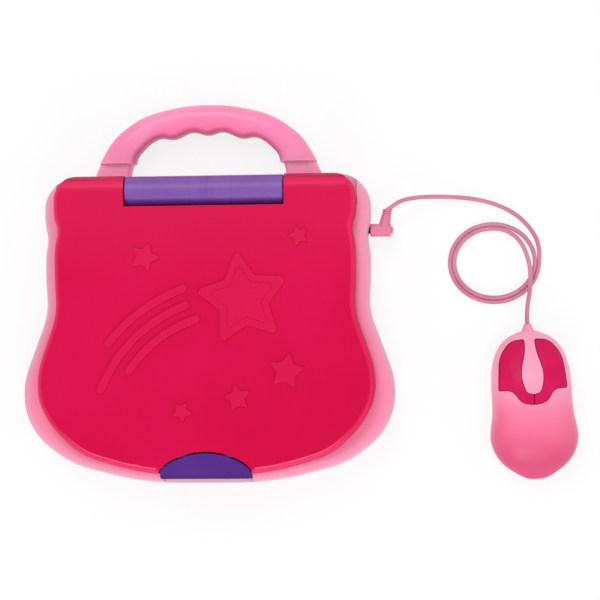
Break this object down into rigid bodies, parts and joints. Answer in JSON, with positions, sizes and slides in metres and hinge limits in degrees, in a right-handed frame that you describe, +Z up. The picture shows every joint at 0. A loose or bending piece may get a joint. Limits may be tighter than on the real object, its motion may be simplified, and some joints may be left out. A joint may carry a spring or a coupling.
{
  "type": "toy laptop computer",
  "caption": "Closed toy laptop with a carry handle, hinged lid, sprung keys, half-moon front latch and a small mouse on a looped cord.",
  "frame": {"origin": "middle of the base's flat underside, on the plane that it stands on", "axes": "+Z up out of the closed lid, +Y towards the carry handle, +X to the right, towards the mouse"},
  "size_m": [0.3424, 0.235, 0.0397],
  "materials": {
    "case_pink": "light pink moulded plastic, soft gloss",
    "handle_pink": "pink moulded plastic, satin gloss",
    "lid_magenta": "deep magenta moulded plastic, high gloss",
    "hinge_purple": "violet moulded plastic, satin",
    "latch_purple": "dark violet moulded plastic, satin",
    "key_white": "off-white moulded plastic keys",
    "key_purple": "violet moulded plastic keys",
    "button_magenta": "magenta moulded plastic",
    "mouse_pink": "pink moulded plastic, satin gloss",
    "cord_pink": "soft pink vinyl cord",
    "plug_pink": "pink moulded vinyl",
    "steel": "plated steel",
    "switch_metal": "stamped steel can",
    "circuit_board": "paper laminate board with copper side",
    "dome_rubber": "grey silicone rubber",
    "speaker_black": "paper cone in a steel basket",
    "cell_wrap": "battery cells in plain wraps",
    "jack_black": "black moulded plastic",
    "bezel_white": "pale pink moulded plastic",
    "display_clear": "clear acrylic window",
    "display_grey": "grey green liquid crystal panel"
  },
  "bodies": {
    "base": {"base_tub": "case_pink", "keyboard_deck": "case_pink", "carry_handle": "handle_pink", "hinge_barrel_cover": "hinge_purple", "hinge_pins": "steel", "main_circuit_board": "circuit_board", "rubber_dome_mat": "dome_rubber", "speaker": "speaker_black", "battery_cells": "cell_wrap", "battery_contacts": "steel", "battery_door": "case_pink", "battery_door_screw": "steel", "case_screws": "steel", "power_switch_body": "switch_metal", "mouse_jack": "jack_black"},
    "lid": {"lid_cover": "lid_magenta", "lid_bezel": "bezel_white", "display_window": "display_clear", "display_panel": "display_grey", "display_board": "circuit_board", "lid_screws": "steel", "latch_pin": "latch_purple"},
    "latch": {"front_latch": "latch_purple"},
    "mouse": {"mouse_base": "mouse_pink", "mouse_top": "mouse_pink", "mouse_circuit_board": "circuit_board", "mouse_switches": "jack_black", "mouse_screws": "steel", "mouse_glide_pads": "dome_rubber", "mouse_cord_grommet": "cord_pink", "mouse_cord_lead": "cord_pink", "mouse_cord_coil": "cord_pink", "mouse_cord_tail": "cord_pink", "plug_housing": "plug_pink", "plug_pin": "steel"},
    "power_switch": {"power_switch_knob": "key_purple"},
    "key_row_1": {"key_row_1": "key_white"},
    "key_row_2": {"key_row_2": "key_white"},
    "key_row_3": {"key_row_3": "key_white"},
    "key_row_4": {"key_row_4": "key_white"},
    "enter_key": {"enter_key": "key_purple"},
    "space_bar": {"space_bar": "key_purple"},
    "arrow_key_up": {"arrow_key_up": "key_purple"},
    "arrow_key_left": {"arrow_key_left": "key_purple"},
    "arrow_key_down": {"arrow_key_down": "key_purple"},
    "arrow_key_right": {"arrow_key_right": "key_purple"},
    "activity_button_1": {"activity_button_1": "button_magenta"},
    "activity_button_2": {"activity_button_2": "button_magenta"},
    "activity_button_3": {"activity_button_3": "button_magenta"},
    "activity_button_4": {"activity_button_4": "button_magenta"},
    "mouse_left_button": {"mouse_left_button": "button_magenta"},
    "mouse_right_button": {"mouse_right_button": "button_magenta"}
  },
  "joints": [
    {"name": "lid_hinge", "type": "hinge", "parent": "base", "child": "lid", "pos_m": [0, 0.085, 0.028], "axis": [-1, 0, 0], "range_deg": [0, 115]},
    {"name": "latch_pivot", "type": "hinge", "parent": "lid", "child": "latch", "pos_m": [0, -0.0773, 0.03605], "axis": [-1, 0, 0], "range_deg": [0, 50]},
    {"name": "power_switch_slide", "type": "slide", "parent": "base", "child": "power_switch", "axis": [1, 0, 0], "range_m": [0, 0.006]},
    {"name": "mouse_unplug", "type": "slide", "parent": "base", "child": "mouse", "axis": [1, 0, 0], "range_m": [0, 0.018]},
    {"name": "key_row_1_press", "type": "slide", "parent": "base", "child": "key_row_1", "axis": [0, 0, -1], "range_m": [0, 0.0015], "stiffness_N_per_m": 300, "springref_m": -0.002},
    {"name": "key_row_2_press", "type": "slide", "parent": "base", "child": "key_row_2", "axis": [0, 0, -1], "range_m": [0, 0.0015], "stiffness_N_per_m": 300, "springref_m": -0.002},
    {"name": "key_row_3_press", "type": "slide", "parent": "base", "child": "key_row_3", "axis": [0, 0, -1], "range_m": [0, 0.0015], "stiffness_N_per_m": 300, "springref_m": -0.002},
    {"name": "key_row_4_press", "type": "slide", "parent": "base", "child": "key_row_4", "axis": [0, 0, -1], "range_m": [0, 0.0015], "stiffness_N_per_m": 300, "springref_m": -0.002},
    {"name": "enter_key_press", "type": "slide", "parent": "base", "child": "enter_key", "axis": [0, 0, -1], "range_m": [0, 0.0015], "stiffness_N_per_m": 300, "springref_m": -0.002},
    {"name": "space_bar_press", "type": "slide", "parent": "base", "child": "space_bar", "axis": [0, 0, -1], "range_m": [0, 0.0015], "stiffness_N_per_m": 300, "springref_m": -0.002},
    {"name": "arrow_key_up_press", "type": "slide", "parent": "base", "child": "arrow_key_up", "axis": [0, 0, -1], "range_m": [0, 0.0015], "stiffness_N_per_m": 300, "springref_m": -0.002},
    {"name": "arrow_key_left_press", "type": "slide", "parent": "base", "child": "arrow_key_left", "axis": [0, 0, -1], "range_m": [0, 0.0015], "stiffness_N_per_m": 300, "springref_m": -0.002},
    {"name": "arrow_key_down_press", "type": "slide", "parent": "base", "child": "arrow_key_down", "axis": [0, 0, -1], "range_m": [0, 0.0015], "stiffness_N_per_m": 300, "springref_m": -0.002},
    {"name": "arrow_key_right_press", "type": "slide", "parent": "base", "child": "arrow_key_right", "axis": [0, 0, -1], "range_m": [0, 0.0015], "stiffness_N_per_m": 300, "springref_m": -0.002},
    {"name": "activity_button_1_press", "type": "slide", "parent": "base", "child": "activity_button_1", "axis": [0, 0, -1], "range_m": [0, 0.0015], "stiffness_N_per_m": 300, "springref_m": -0.002},
    {"name": "activity_button_2_press", "type": "slide", "parent": "base", "child": "activity_button_2", "axis": [0, 0, -1], "range_m": [0, 0.0015], "stiffness_N_per_m": 300, "springref_m": -0.002},
    {"name": "activity_button_3_press", "type": "slide", "parent": "base", "child": "activity_button_3", "axis": [0, 0, -1], "range_m": [0, 0.0015], "stiffness_N_per_m": 300, "springref_m": -0.002},
    {"name": "activity_button_4_press", "type": "slide", "parent": "base", "child": "activity_button_4", "axis": [0, 0, -1], "range_m": [0, 0.0015], "stiffness_N_per_m": 300, "springref_m": -0.002},
    {"name": "mouse_left_button_press", "type": "slide", "parent": "mouse", "child": "mouse_left_button", "axis": [0, 0, -1], "range_m": [0, 0.0012], "stiffness_N_per_m": 300, "springref_m": -0.002},
    {"name": "mouse_right_button_press", "type": "slide", "parent": "mouse", "child": "mouse_right_button", "axis": [0, 0, -1], "range_m": [0, 0.0012], "stiffness_N_per_m": 300, "springref_m": -0.002}
  ]
}
